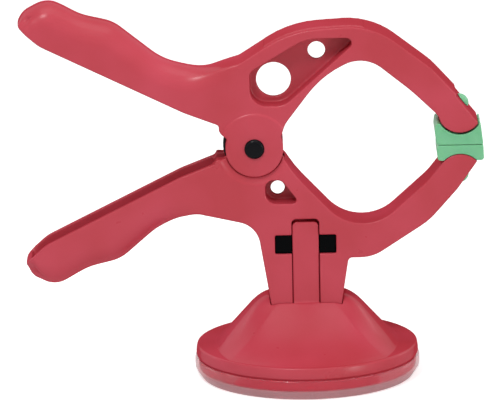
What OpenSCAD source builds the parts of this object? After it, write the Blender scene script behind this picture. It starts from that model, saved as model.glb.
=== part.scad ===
// Spring clamp on a suction base: two moulded lever arms on one pivot pin, a torsion spring
// between them, soft shoes on the jaw tips, and a domed base over a clear suction cup.
// Millimetres, +Z up, +X towards the jaws, origin at the middle of the cup on its rest plane.

/* [Arms] */
// Width of both arms, front to back
arm_w = 17.2; // [16:0.2:22]
// From the pivot axis to the middle of the jaw tips
jaw_reach = 72.6; // [69:0.2:79]
// Radius of the round jaw tips
jaw_tip_r = 8; // [7.4:0.1:8.6]
// From the pivot axis to the end of the upper handle
upper_handle_l = 94.4; // [86:0.2:104]
// From the pivot axis to the end of the lower handle
lower_handle_l = 91.6; // [84:0.2:104]
// Angle of each handle from the level line
handle_angle = 26.5; // [25:0.5:30]
// Wall of the hollow handles
handle_wall = 2.4; // [1.6:0.1:2.8]
// Height of the upper jaw's back above the pivot axis
jaw_back_h = 42; // [41:0.2:45]
// Depth of the lower jaw's back under the pivot axis
jaw_back_d = 40.2; // [40:0.2:44]
// Height of the raised strip on the upper jaw's back
strip_h = 0.5; // [0.3:0.1:1]

/* [Pockets] */
// Web left in the middle of the side pockets
web_t = 2; // [1.4:0.2:3.6]
// Radius of the large hole in the upper arm
hang_hole_r = 6.15; // [4:0.05:6.8]
// Radius of the small hole in the upper arm
small_hole_r = 3.1; // [2:0.1:4]
// Radius of the hole in the lower arm
lower_hole_r = 2.5; // [1.5:0.1:3]

/* [Pivot] */
// Pivot axis, across from the middle of the base (towards the handles)
pivot_back = 17.5; // [15:0.1:20]
// Pivot axis above the rest plane
pivot_z = 84; // [83:0.1:88]
// Radius of the round ears
ear_r = 10.2; // [9:0.1:11]
// Thickness of each outer ear
outer_ear_t = 2.9; // [2.4:0.1:3.2]
// Side gap between neighbouring ears
ear_gap = 0.3; // [0.2:0.05:0.5]
// Gap round the rim of an ear in its seat
ear_rim_gap = 0.8; // [0.6:0.1:1.6]
// Radius of the pivot pin's shank
pin_r = 2.5; // [2:0.1:3]
// Running clearance round the pivot pin
pin_fit = 0.05; // [0.02:0.01:0.1]
// Radius of the pin's head
pin_head_r = 3.7; // [3.4:0.1:4.5]
// Height of the pin's head
pin_head_h = 1.5; // [1:0.1:2.5]

/* [Spring] */
// Wire thickness
wire_d = 1.8; // [1.4:0.1:2]
// Radius of the coil, to the middle of the wire
coil_r = 9.7; // [8.5:0.1:10]
// Axial step of each turn
coil_pitch = 1.95; // [1.9:0.05:2]
// Whole turns beyond the angle between the legs
coil_turns = 2; // [1:1:2]
// Length of each leg beyond the coil
leg_l = 47; // [42:1:52]
// How far the slack coil hangs off the pin's middle, towards the handles
coil_back = 0.5; // [0:0.1:0.6]

/* [Pads] */
// Thickness of the upper pad under its jaw tip
upper_pad_t = 3.6; // [3:0.1:4.6]
// Thickness of the lower pad over its jaw tip
lower_pad_t = 3.1; // [2.8:0.1:4.4]
// Slack between the upper jaw tip and its pad
pad_slack = 0.5; // [0:0.1:0.8]
// How far the pads stand out past the arms, on each side
pad_proud = 0.1; // [0:0.05:0.4]
// Overhang of the pad beyond the tip's middle, towards the pivot
pad_in = 8.2; // [8:0.1:9]
// Overhang of the pad beyond the tip's middle, away from the pivot
pad_out = 8.2; // [8:0.1:9]
// Height of the upper pad's horns above its face
upper_horn_h = 7.7; // [6:0.1:9]
// Height of the lower pad's horns above its face
lower_horn_h = 5.5; // [5:0.1:7]
// Gap between the two pads when the jaws are closed
pad_gap = 0.2; // [0.1:0.1:0.4]
// Radius of the stem that holds a pad in its jaw
stem_r = 1.2; // [1:0.1:1.4]
// Radius of the round button on the end of the stem
knob_r = 2.9; // [2.5:0.1:3.4]

/* [Neck] */
// Width of the neck where it leaves the lower jaw
neck_top_w = 30.4; // [29:0.2:33]
// Width of the neck at its foot
neck_foot_w = 24.4; // [23.4:0.2:25.6]
// Depth of the neck in the socket of the dome
socket_d = 4.3; // [3:0.5:5]
// Width of the slot for each tongue
slot_w = 9.8; // [9:0.1:11]
// Height of the slot's top above the rest plane
slot_top = 58.2; // [57:0.1:60]
// Depth of each slot into the neck
slot_d = 4.4; // [3.5:0.1:4.8]
// Side gap between a tongue and its slot
tongue_gap = 0.4; // [0.2:0.05:0.8]
// How far the tongues stand back from the face of the neck
tongue_set = 0.7; // [0.3:0.1:1]
// Length of the locking key across the neck
key_l = 21.4; // [20:0.2:22.6]
// Height of the locking key
key_h = 6.6; // [5:0.1:7]
// Underside of the locking key above the rest plane
key_z = 45.6; // [44.5:0.1:47]
// Fit of the locking key in its window
key_fit = 0.15; // [0.05:0.05:0.3]

/* [Base] */
// Radius of the suction cup
cup_r = 40; // [39:0.5:46]
// Thickness of the cup's rim under the skirt
cup_rim_t = 3; // [2:0.1:3.4]
// Gap between the cup's lip and the flange over it
lip_gap = 0.6; // [0.4:0.1:1.6]
// Thickness of the cup's lip
cup_lip_t = 1.3; // [1:0.1:1.6]
// Height of the hollow under the cup
cup_hollow = 5.5; // [4.5:0.1:6.5]
// How far the flange stands back from the rim of the cup
flange_inset = 0.5; // [0.4:0.1:1.2]
// Underside of the flange above the rest plane
flange_z = 6.8; // [6.6:0.1:7.6]
// Thickness of the flange
flange_t = 4.5; // [3.4:0.1:5]
// Wall of the base
base_wall = 2.4; // [1.8:0.1:2.6]
// Top of the dome above the rest plane
dome_top = 29.6; // [28.8:0.1:31]
// Half width of the dome's foot, to each side
dome_side = 32.4; // [31:0.2:34]
// Half width of the dome's top, to each side
dome_top_x = 13.4; // [13.2:0.1:15]
// Half depth of the dome's top, front to back
dome_top_y = 6; // [4:0.5:8]
// Radius of the stud in the cup
stud_r = 2.5; // [2:0.1:3]
// Radius of the stud's head
stud_head_r = 6; // [4.5:0.1:6.5]
// Fit between seated pieces
seat_fit = 0.2; // [0.1:0.05:0.3]

/* [Hidden] */
$fn = 72;
half_w = arm_w / 2;
past = 1;                                    // cuts run this far past a face
arc_step = 6;                                // degrees between points on a fillet

// Ears, from the middle of the clamp outwards
outer_ear_in = half_w - outer_ear_t;
inner_ear_out = outer_ear_in - ear_gap;
coil_span = (2 * (90 - handle_angle) / 360 + coil_turns) * coil_pitch;
well_half = (coil_span + wire_d) / 2 + 0.3;
coil_out = coil_r + wire_d / 2;
well_r = max(coil_out + coil_back + 0.4, ear_r + ear_rim_gap);

// Handle outline in its own frame: s along the handle, t outwards from its open edge
handle_lift = 1.8;                           // how far both handles lie above the line through the pivot
open_t = -1.1;                               // open edge of a handle, past the hub
hub_t = 0.3;                                 // and beside the hub
handle_start = 15;
grip_t = 13.1;
waist_s = 42.5;
waist_t = 10.4;
hump_back = 30.5;                            // hump and dip, back from the handle's end
hump_t = 15.1;
dip_back = 19;
dip_t = 12.4;
nose_back = 5.6;                             // the end rounds over from here
nose_t = 6.2;
end_r = 5;                                   // corner of a handle's end, seen from above

// Jaw tips and pads
pad_w = arm_w + 2 * pad_proud;
upper_tip_z = upper_pad_t + pad_gap / 2 + seat_fit + pad_slack + jaw_tip_r;
lower_tip_z = lower_pad_t + pad_gap / 2 + seat_fit + jaw_tip_r;
upper_tip = [36, 146];                       // the round part of a tip, in degrees
lower_tip = [42, 142];
stem_fit = 0.1;
upper_back = [-1.1, 4.8];                    // where a tip's flat back starts, from its middle
lower_back = [-1.1, 4.5];
knob_run = 3.7;                              // a button's middle, along the flat back
knob_h = 1.7;
knob_gap = 0.2;

// Neck
neck_x = pivot_back;                         // middle of the neck, from the pivot axis
neck_top_z = 40.1;                           // where it leaves the jaw, under the pivot axis
neck_foot = dome_top - socket_d;
neck_foot_z = pivot_z - neck_foot;           // its foot, under the pivot axis
neck_taper = (neck_top_w - neck_foot_w) / 2 / (neck_foot_z - neck_top_z);
window_h = key_h + 2 * key_fit;
slot_corner = 1.7;
tongue_w = slot_w - 2 * tongue_gap;
tongue_front = half_w - tongue_set;
tongue_back = half_w - slot_d + seat_fit;
key_waist = half_w - slot_d;                 // the key is narrower behind the tongues
key_set = 1;                                 // the key's ends stand back from the face

// Base
flange_r = cup_r - flange_inset;
cup_lip_h = flange_z - lip_gap;
flange_top = flange_z + flange_t;
flange_slope = 1.5;                          // the flange's top edge slopes over this height
skirt_foot = cup_rim_t + seat_fit;
skirt_r = cup_r - cup_lip_t - seat_fit;
dome_foot_r = flange_r - 1.6;
bow_r = 76;                                  // the sides of the dome bow out on this radius
shoulder = 0.25;                             // share of the height taken by the shoulder
shoulder_out = 0.15;                         // and of the spread
dome_web = neck_foot - seat_fit - 3;         // underside of the socket's floor
cup_boss_r = 8;
head_z = 10.5;
head_t = 2;
washer_t = 1.2;
stud_fit = 0.1;

function unit(v) = v / norm(v);
function turn(a) = a > 180 ? a - 360 : (a < -180 ? a + 360 : a);
function ring_pt(c, r, a) = [c[0] + r * cos(a), c[1] + r * sin(a)];
function arc(c, r, from, to) =
    let (n = ceil(abs(to - from) / arc_step))
    [for (i = [0:n]) ring_pt(c, r, from + (to - from) * i / n)];

// One rounded corner at b, between its neighbours a and c
function fillet(a, b, c, r) =
    let (u = unit(a - b), v = unit(c - b), half = acos(u * v) / 2,
         run = min(r / tan(half), 0.49 * min(norm(a - b), norm(c - b))),
         rr = run * tan(half), m = b + unit(u + v) * rr / sin(half),
         p = b + u * run - m, q = b + v * run - m,
         from = atan2(p[1], p[0]), sweep = turn(atan2(q[1], q[0]) - from))
    arc(m, rr, from, from + sweep);

// An outline from corners [x, z, radius], where a radius of 0 keeps the point
function rounded(k) =
    let (n = len(k))
    [for (i = [0:n - 1])
        let (b = [k[i][0], k[i][1]], a = k[(i + n - 1) % n], c = k[(i + 1) % n])
        each (k[i][2] == 0 ? [b] : fillet([a[0], a[1]], b, [c[0], c[1]], k[i][2]))];
function sharp(pts) = [for (p = pts) [p[0], p[1], 0]];

// From the handle's frame to the arm's: side 1 for the upper arm, -1 for the lower
function grip(s, t, side, r) =
    [-s * cos(handle_angle) + (t + side * handle_lift) * sin(handle_angle),
     side * (s * sin(handle_angle) + (t + side * handle_lift) * cos(handle_angle)), r];

// Handle corners from the open edge round the end to the waist
function handle_edge(l, side) =
    [grip(handle_start, hub_t, side, 1), grip(handle_start + 13, open_t + 0.2, side, 20),
     grip(l - 10, open_t, side, 15), grip(l, open_t + 2.7, side, 1.6), grip(l, nose_t, side, 8),
     grip(l - nose_back, grip_t, side, 8), grip(l - dip_back, dip_t, side, 20),
     grip(l - hump_back, hump_t, side, 14), grip(waist_s, waist_t, side, 22)];

// The hollow of a handle, open at its inner edge
function handle_hollow(l, side) =
    [grip(16, -8, side, 0), grip(16, waist_t - handle_wall, side, 0),
     grip(waist_s, waist_t - handle_wall, side, 22),
     grip(l - hump_back, hump_t - handle_wall, side, 12),
     grip(l - dip_back, dip_t - handle_wall, side, 20),
     grip(l - nose_back - handle_wall, grip_t - handle_wall, side, 5),
     grip(l - 1.2 * handle_wall, nose_t - handle_wall / 2, side, 4),
     grip(l - 1.2 * handle_wall, 1, side, 1), grip(l - 6, -8, side, 0)];

// The round part of a jaw tip, from its back to its inner edge
function tip_arc(z, span, side) =
    [for (p = arc([jaw_reach, side * z], jaw_tip_r, -side * span[0], -side * span[1]))
        [p[0], p[1], 0]];

function upper_outline(raise) = rounded(concat(
    handle_edge(upper_handle_l, 1),
    [[-20, 26.6, 20], [-4.6, 30.7 + raise, 0.8],
     [13.4, jaw_back_h + raise, 38], [42.1, jaw_back_h + 1.6 + raise, 27],
     [jaw_reach - 9.6, upper_tip_z + 15.1, 30], [jaw_reach - 1.2, upper_tip_z + 5.8, 0.5],
     [jaw_reach + upper_back[0], upper_tip_z + upper_back[1], 0.4]],
    tip_arc(upper_tip_z, upper_tip, 1),
    [[jaw_reach - 7.8, upper_tip_z - 1.5, 5], [jaw_reach - 17, upper_tip_z + 7.4, 40],
     [39.2, 33.1, 12], [24.2, 25.8, 50], [11, 8.7, 12],
     [9.2, 3.5, 0], [0, 0, 0], [-9.4, 3.5, 0], [-11.8, 5.5, 0.3], [-12.4, 6.6, 0.5]]));

function neck_edge(z) = neck_foot_w / 2 + (neck_foot_z - z) * neck_taper;
function lower_outline() = rounded(concat(
    handle_edge(lower_handle_l, -1),
    [[-21, -23.3, 14], [-15.8, -24.4, 1], [neck_x - neck_edge(28.1), -28.1, 9],
     [neck_x - neck_foot_w / 2, -neck_foot_z, 0.5], [neck_x + neck_foot_w / 2, -neck_foot_z, 0.5],
     [neck_x + neck_edge(jaw_back_d), -jaw_back_d, 1.5],
     [41.2, -jaw_back_d, 18], [jaw_reach - 11.2, -lower_tip_z - 15.8, 25],
     [jaw_reach + lower_back[0], -lower_tip_z - lower_back[1], 12]],
    tip_arc(lower_tip_z, lower_tip, -1),
    [[jaw_reach - 11.2, -lower_tip_z - 1.2, 20], [37, -34.3, 16.5], [14.1, -10, 40],
     [9.8, -3.1, 1], [8.5, -3, 0], [0, 0, 0], [-9, -3, 0],
     [-11.3, -3.9, 0.2], [-13.4, -3.9, 0.3]]));

// A flat piece in the X-Z plane, centred on Y = 0 or between two depths
module plate(outline, w) {
    rotate([90, 0, 0]) linear_extrude(w, center = true) polygon(outline);
}
module rod(r, w) {
    rotate([90, 0, 0]) cylinder(r = r, h = w, center = true);
}
module at_pivot() {
    translate([-pivot_back, 0, pivot_z]) children();
}
// The same cut in the front and the back face, down to the middle web
module both_faces(inner) {
    for (side = [-1, 1])
        translate([0, side * (inner + (half_w + past - inner) / 2), 0]) children();
}

// Torsion spring: one wire along a leg, the coil and the other leg
function leg_touch(l, side) =                // where the leg meets its handle's wall
    let (p = grip(waist_s - 3, waist_t - handle_wall - wire_d / 2 - 0.3, side, 0))
    [p[0], p[1]];
function leg_from(l, side) =                 // angle at which the leg leaves the coil
    let (p = leg_touch(l, side), far = norm(p), a = atan2(p[1], p[0]))
    a - side * acos(coil_r / far);
upper_leave = leg_from(upper_handle_l, 1);
lower_leave = leg_from(lower_handle_l, -1);
coil_sweep = turn(upper_leave - lower_leave) + 360 * coil_turns;
coil_run = coil_sweep / 360 * coil_pitch;
function coil_pt(a, f) = [coil_r * cos(a), coil_run * (0.5 - f), coil_r * sin(a)];
function leg_dir(a, side) = [-side * sin(a), 0, side * cos(a)];
wire_steps = ceil(coil_sweep / 15);
wire_path = concat(
    [coil_pt(lower_leave, 0) + leg_l * leg_dir(lower_leave, -1)],
    [for (i = [0:wire_steps]) coil_pt(lower_leave + coil_sweep * i / wire_steps, i / wire_steps)],
    [coil_pt(upper_leave, 1) + leg_l * leg_dir(upper_leave, 1)]);
wire_sides = 10;
// A ring of points round the wire, square to its run
function wire_ring(i) =
    let (n = len(wire_path), a = wire_path[max(i - 1, 0)], b = wire_path[min(i + 1, n - 1)],
         run = unit(b - a), out = unit(cross(run, [0, 1, 0])), up = cross(out, run))
    [for (k = [0:wire_sides - 1])
        wire_path[i] + wire_d / 2 * (cos(360 * k / wire_sides) * out
                                     + sin(360 * k / wire_sides) * up)];
module swept_wire() {
    n = len(wire_path);
    points = [for (i = [0:n - 1]) each wire_ring(i)];
    sides = [for (i = [0:n - 2]) for (k = [0:wire_sides - 1])
        let (a = i * wire_sides + k, b = i * wire_sides + (k + 1) % wire_sides)
        each [[a, b, b + wire_sides], [a, b + wire_sides, a + wire_sides]]];
    cap_a = [[for (k = [wire_sides - 1:-1:0]) k]];
    cap_b = [[for (k = [0:wire_sides - 1]) (n - 1) * wire_sides + k]];
    polyhedron(points, concat(sides, cap_a, cap_b));
}

// Hollow of a handle and the way in for the spring's leg
module handle_cut(l, side) {
    plate(rounded(handle_hollow(l, side)), arm_w - 2 * handle_wall);
    plate([for (p = [grip(0, -8, side, 0), grip(0, coil_out + 0.6 - side * handle_lift, side, 0),
                     grip(waist_s - 3, waist_t - handle_wall + 0.1, side, 0),
                     grip(waist_s - 3, -8, side, 0)]) [p[0], p[1]]], 2 * well_half);
}

// The corners taken off a handle's end, seen from above
module end_corners(l, side) {
    mirror([0, 0, side > 0 ? 0 : 1]) rotate([0, handle_angle, 0])
        for (back = [0, 1]) mirror([0, back, 0]) translate([-l, half_w, -10])
            linear_extrude(40) polygon(concat([[end_r, past], [-past, past], [-past, -end_r]],
                                              arc([end_r - 0.1, 0.1 - end_r], end_r, 180, 90)));
}

// Run of a tip's flat back down to its round part, and the middle of the button on it, both
// drawn for the upper jaw and from the middle of the tip
function back_run(back, span) =
    unit([jaw_tip_r * cos(span[0]), -jaw_tip_r * sin(span[0])] - back);
function knob_at(back, span) = back + knob_run * back_run(back, span);

// Hole for a pad's stem, up through the tip and out of its back
module stem_cut(tip_z, back, span, side) {
    at = knob_at(back, span);
    mirror([0, 0, side > 0 ? 0 : 1]) translate([jaw_reach + at[0], 0, 0])
        cylinder(r = stem_r + stem_fit, h = tip_z + at[1] + 3);
}

module upper_arm() {
    color("firebrick") at_pivot() difference() {
        union() {
            plate(upper_outline(0), arm_w);
            rod(ear_r, arm_w);
            intersection() {
                plate(upper_outline(strip_h), arm_w - 4);
                translate([4, -half_w, 20]) cube([35, arm_w, 40]);
            }
        }
        rod(well_r, 2 * outer_ear_in);
        handle_cut(upper_handle_l, 1);
        end_corners(upper_handle_l, 1);
        both_faces(web_t / 2)
            plate(rounded([[-1.3, 27.5, 3], [-1.2, 15.2, 7.8], [10.8, 15.2, 7.8],
                           [35.2, 36.8, 2.3], [34.2, jaw_back_h - 2.7, 2.2],
                           [18.6, jaw_back_h - 2.7, 18]]),
                  half_w + past - web_t / 2);
        translate([7.2, 0, 23.35]) rod(hang_hole_r, arm_w + past);
        translate([22.5, 0, 33.6]) rod(small_hole_r, arm_w + past);
        rod(pin_r + pin_fit, arm_w + past);
        stem_cut(upper_tip_z, upper_back, upper_tip, 1);
    }
}

module lower_arm() {
    color("firebrick") at_pivot() difference() {
        union() {
            difference() {
                plate(lower_outline(), arm_w);
                both_faces(inner_ear_out)
                    rod(ear_r + ear_rim_gap, half_w + past - inner_ear_out);
            }
            rod(ear_r, 2 * inner_ear_out);
        }
        rod(well_r, 2 * well_half);
        handle_cut(lower_handle_l, -1);
        end_corners(lower_handle_l, -1);
        both_faces(web_t / 2)
            plate(rounded([[3.6, -11.6, 3.5], [3.6, -20.3, 4], [15.8, -20.2, 1.3], [9.3, -11.6, 2.5]]),
                  half_w + past - web_t / 2);
        translate([8, 0, -15.95]) rod(lower_hole_r, arm_w + past);
        rod(pin_r + pin_fit, arm_w + past);
        stem_cut(lower_tip_z, lower_back, lower_tip, -1);
        // Slots for the tongues, window for the key and way up for the stud
        both_faces(half_w - slot_d)
            plate(rounded([[neck_x - slot_w / 2, -neck_foot_z - past, 0],
                           [neck_x - slot_w / 2, slot_top - pivot_z, slot_corner],
                           [neck_x + slot_w / 2, slot_top - pivot_z, slot_corner],
                           [neck_x + slot_w / 2, -neck_foot_z - past, 0]]),
                  slot_d + past);
        translate([neck_x, 0, key_z + key_h / 2 - pivot_z])
            cube([key_l + 2 * key_fit, arm_w + past, window_h], center = true);
        translate([neck_x, 0, -neck_foot_z - past])
            cylinder(r = stud_r + stud_fit, h = key_z - neck_foot + 2 * past);
    }
}

module torsion_spring() {
    color("dimgray") at_pivot() translate([-coil_back, 0, 0]) swept_wire();
}

// Headed pin: the shank runs through the ears and its head bears on the front ear
module pivot_pin() {
    color([0.08, 0.08, 0.09]) at_pivot() {
        translate([0, -half_w, 0]) rotate([90, 0, 0]) {
            cylinder(r = pin_head_r, h = pin_head_h * 0.6);
            translate([0, 0, pin_head_h * 0.6])
                cylinder(r1 = pin_head_r, r2 = pin_head_r - 0.9, h = pin_head_h * 0.4);
        }
        translate([0, half_w + pin_head_h, 0]) rotate([90, 0, 0])
            cylinder(r = pin_r, h = arm_w + pin_head_h);
    }
}

module pin_push_nut() {
    color([0.08, 0.08, 0.09]) at_pivot()
        translate([0, half_w, 0]) rotate([-90, 0, 0]) difference() {
            union() {
                cylinder(r = pin_head_r + 0.6, h = pin_head_h * 0.4);
                cylinder(r = pin_head_r - 0.2, h = pin_head_h);
            }
            translate([0, 0, -past]) cylinder(r = pin_r, h = pin_head_h + 2 * past);
        }
}

// A pad with the stem and button that hold it, drawn for the upper jaw: side -1 mirrors it
module pad(t, horn_h, saddle_z, tip_z, back, span, side) {
    at = knob_at(back, span);
    run = back_run(back, span);
    face = pad_gap / 2;
    saddle_r = jaw_tip_r + seat_fit;
    swell = side > 0 ? [0.3, 0.8, -0.9] : [-0.3, 0, 0.2];
    mirror([0, 0, side > 0 ? 0 : 1]) {
        difference() {
            plate(rounded([[jaw_reach - pad_in, face, 1], [jaw_reach + pad_out, face, 0.5],
                           [jaw_reach + pad_out + swell[2], face + horn_h, 1],
                           [jaw_reach - pad_in - swell[0], face + horn_h, 1],
                           [jaw_reach - pad_in - swell[1], face + 0.6 * horn_h, 8]]), pad_w);
            translate([jaw_reach, 0, saddle_z]) {
                rod(saddle_r, pad_w + past);
                // Clear of the jaw's back and of its inner face
                rotate([0, 90 - 38, 0]) translate([-20, -pad_w, 0]) cube([20, 2 * pad_w, 20]);
            }
        }
        translate([jaw_reach + at[0], 0, face + t / 2])
            cylinder(r = stem_r, h = tip_z + at[1] + 0.8 - face - t / 2);
        translate([jaw_reach + at[0], 0, tip_z + at[1]])
            rotate([0, atan2(-run[1], run[0]), 0]) translate([0, 0, knob_gap]) button();
    }
}
// Low round button: the cap of a ball
module button() {
    ball = (pow(knob_r, 2) + pow(knob_h, 2)) / (2 * knob_h);
    intersection() {
        translate([0, 0, knob_h - ball]) sphere(r = ball);
        cylinder(r = knob_r + past, h = knob_h + past);
    }
}

module upper_pad() {
    color("mediumaquamarine") at_pivot()
        pad(upper_pad_t, upper_horn_h, upper_tip_z - pad_slack, upper_tip_z, upper_back, upper_tip, 1);
}

module lower_pad() {
    color("mediumaquamarine") at_pivot()
        pad(lower_pad_t, lower_horn_h, lower_tip_z, lower_tip_z, lower_back, lower_tip, -1);
}

// Key across the neck: its ends fill the windows, its waist passes behind the tongues
module lock_key() {
    color([0.05, 0.05, 0.06]) translate([0, 0, key_z + key_h / 2]) difference() {
        cube([key_l, arm_w - 2 * key_set, key_h], center = true);
        for (side = [-1, 1])
            translate([0, side * (key_waist + half_w / 2), 0])
                cube([slot_w, half_w, key_h + 2 * past], center = true);
        translate([0, 0, -key_h]) cylinder(r = stud_r, h = key_h * 2);
    }
}

// Outline of the dome in plan at height share u, 0 at the foot and 1 at the top
function bow(a) =
    let (c = bow_r - dome_side, k = abs(cos(a)))
    -c * k + sqrt(pow(c * k, 2) + pow(bow_r, 2) - pow(c, 2));
function foot_plan(a) = min(dome_foot_r, bow(a));
function top_plan(a) =
    pow(pow(abs(cos(a)) / dome_top_x, 5) + pow(abs(sin(a)) / dome_top_y, 5), -1 / 5);
// Spread of the sides and of the front and back, at share w down from the top: the sides
// round over a shoulder and then run straight
function side_run(w) =
    let (s = min(w / shoulder, 1)) (1 - shoulder_out) * w + shoulder_out * sqrt(s * (2 - s));
function front_run(w) = 0.78 * w + 0.22 * pow(w, 6);
function dome_plan(a, w) =
    top_plan(a) + (foot_plan(a) - top_plan(a))
        * (side_run(w) * pow(cos(a), 2) + front_run(w) * pow(sin(a), 2));
// Levels down the dome as shares of its height, closer together near its top
dome_h = dome_top - flange_top;
dome_levels = [for (i = [0:14]) pow(i / 14, 1.7)];
dome_sides = 72;
module dome_shell() {
    n = len(dome_levels);
    points = [for (w = concat(dome_levels, [1.05])) for (k = [0:dome_sides - 1])
        let (a = 360 * k / dome_sides, r = dome_plan(a, min(w, 1)))
        [r * cos(a), r * sin(a), dome_top - w * dome_h]];
    walls = [for (i = [0:n - 1]) for (k = [0:dome_sides - 1])
        let (a = i * dome_sides + k, b = i * dome_sides + (k + 1) % dome_sides)
        each [[a, b, b + dome_sides], [a, b + dome_sides, a + dome_sides]]];
    top = [[for (k = [dome_sides - 1:-1:0]) k]];
    foot = [[for (k = [0:dome_sides - 1]) n * dome_sides + k]];
    polyhedron(points, concat(walls, top, foot));
}

module tongue(side) {
    translate([0, side * (tongue_front + tongue_back) / 2, 0])
        plate(rounded([[-tongue_w / 2, dome_web, 0],
                       [-tongue_w / 2, slot_top - 1.3, slot_corner],
                       [tongue_w / 2, slot_top - 1.3, slot_corner],
                       [tongue_w / 2, dome_web, 0]]), tongue_front - tongue_back);
}

module base_dome() {
    color("firebrick") difference() {
        union() {
            difference() {
                union() {
                    dome_shell();
                    translate([0, 0, flange_z])
                        cylinder(r = flange_r, h = flange_t - flange_slope, $fn = 120);
                    translate([0, 0, flange_top - flange_slope])
                        cylinder(r1 = flange_r, r2 = flange_r - 0.8, h = flange_slope, $fn = 120);
                    translate([0, 0, skirt_foot])
                        cylinder(r = skirt_r, h = flange_z - skirt_foot, $fn = 120);
                }
                // Socket for the foot of the neck
                translate([0, 0, neck_foot - seat_fit])
                    socket();
            }
            tongue(-1);
            tongue(1);
        }
        // Hollow of the base, over the cup
        rotate_extrude($fn = 120) polygon([
            [0, skirt_foot - past], [skirt_r - base_wall, skirt_foot - past],
            [skirt_r - base_wall, flange_z - 1], [dome_side - base_wall, flange_top - 0.6],
            [22 - base_wall / 2, flange_top + 0.23 * dome_h],
            [cup_boss_r + 4, dome_web - 1], [cup_boss_r + 3, dome_web],
            [0, dome_web]]);
        cylinder(r = stud_r + stud_fit, h = dome_top);
    }
}
// The foot of the neck with its fit, from the socket's floor to past the dome's top
module socket() {
    h = socket_d + seat_fit + past;
    half_x = neck_foot_w / 2 + seat_fit;
    plate([[-half_x, 0], [-half_x - h * neck_taper, h], [half_x + h * neck_taper, h], [half_x, 0]],
          arm_w + 2 * seat_fit);
}

module suction_cup() {
    color([0.85, 0.8, 0.82, 0.5]) difference() {
        rotate_extrude($fn = 120) polygon(concat(
            [[0, cup_hollow], [cup_r * 0.3, cup_hollow - 0.4], [cup_r * 0.65, cup_hollow * 0.5],
             [cup_r - 5.8, 0.4], [cup_r - 5, 0]],
            arc([cup_r - 2.6, 0.6], 0.6, -90, -30), [[cup_r, cup_lip_h - 2.3]],
            arc([cup_r - cup_lip_t / 2, cup_lip_h - cup_lip_t / 2], cup_lip_t / 2, 0, 180),
            [[cup_r - cup_lip_t, cup_rim_t], [cup_r - 5.4, cup_rim_t],
             [cup_r * 0.72, cup_rim_t + 2.4],
             [cup_boss_r + 1.5, cup_hollow + 3.6], [cup_boss_r, cup_hollow + 5.4],
             [cup_boss_r, dome_web - washer_t - seat_fit], [0, dome_web - washer_t - seat_fit]]));
        // Moulded round the stud
        translate([0, 0, head_z]) cylinder(r = stud_head_r, h = head_t);
        translate([0, 0, head_z]) cylinder(r = stud_r, h = dome_web);
    }
}

module cup_stud() {
    color("silver") translate([0, 0, head_z]) {
        cylinder(r = stud_head_r, h = head_t);
        cylinder(r = stud_r, h = key_z + key_h - 0.6 - head_z);
    }
}

module stud_washer() {
    color("silver") translate([0, 0, dome_web - washer_t]) difference() {
        cylinder(r = cup_boss_r - 1, h = washer_t);
        translate([0, 0, -past]) cylinder(r = stud_r + stud_fit, h = washer_t + 2 * past);
    }
}

upper_arm();
lower_arm();
torsion_spring();
pivot_pin();
pin_push_nut();
upper_pad();
lower_pad();
lock_key();
base_dome();
suction_cup();
cup_stud();
stud_washer();
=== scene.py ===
"""Spring clamp on a suction base: finishes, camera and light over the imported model."""
import bmesh
import bpy
import math
from mathutils import Matrix, Vector, kdtree


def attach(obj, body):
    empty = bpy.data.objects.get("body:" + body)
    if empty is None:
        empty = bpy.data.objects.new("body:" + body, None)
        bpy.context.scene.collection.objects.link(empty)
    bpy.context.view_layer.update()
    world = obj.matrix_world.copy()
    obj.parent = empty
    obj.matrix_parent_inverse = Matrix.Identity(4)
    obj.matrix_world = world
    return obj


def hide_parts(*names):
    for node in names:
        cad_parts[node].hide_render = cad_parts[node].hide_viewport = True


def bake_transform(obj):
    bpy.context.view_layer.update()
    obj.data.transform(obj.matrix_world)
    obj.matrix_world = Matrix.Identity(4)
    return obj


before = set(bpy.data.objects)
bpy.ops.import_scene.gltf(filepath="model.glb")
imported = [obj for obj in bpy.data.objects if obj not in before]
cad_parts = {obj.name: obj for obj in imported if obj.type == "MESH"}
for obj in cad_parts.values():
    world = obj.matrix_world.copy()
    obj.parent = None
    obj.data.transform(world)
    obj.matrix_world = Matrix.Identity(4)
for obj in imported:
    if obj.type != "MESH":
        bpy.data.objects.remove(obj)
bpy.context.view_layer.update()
MM = 0.001

# Places shared with the CAD, in millimetres
PIVOT_X, PIVOT_Z = -17.5, 84.0
ARM_W = 17.2
HANDLE_ANGLE, HANDLE_LIFT, HANDLE_WALL = 26.5, 1.8, 2.4
WAIST_S, WAIST_T = 42.5, 10.4
UPPER_L, LOWER_L = 94.4, 91.6
WIRE_D, COIL_R, COIL_PITCH, COIL_TURNS, LEG_L, COIL_BACK = 1.8, 9.7, 1.95, 2, 47.0, 0.5
PIN_R, PIN_HEAD_R, PIN_RISE = 2.5, 3.7, 1.5
CUP_R, RIM_T, LIP_H, LIP_T, CUP_HOLLOW = 40.0, 3.0, 6.2, 1.3, 5.5
FLANGE_R, FLANGE_Z, FLANGE_T, BASE_WALL = 39.5, 6.8, 4.5, 2.4
DOME_TOP, DOME_SIDE, DOME_TOP_X, DOME_TOP_Y, BOW_R = 29.6, 32.4, 13.4, 6.0, 76.0
NECK_FOOT_W, NECK_TAPER, SOCKET_D, SEAT_FIT = 24.4, 0.1613, 4.3, 0.2
SLOT_W, SLOT_TOP, SLOT_D, TONGUE_GAP, TONGUE_SET = 9.8, 58.2, 4.4, 0.4, 0.7
KEY_Z, KEY_H, STUD_R, STUD_HEAD_R, BOSS_R = 45.6, 6.6, 2.5, 6.0, 8.0
FLANGE_TOP = FLANGE_Z + FLANGE_T
SKIRT_R, SKIRT_FOOT = CUP_R - LIP_T - SEAT_FIT, RIM_T + SEAT_FIT
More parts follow.
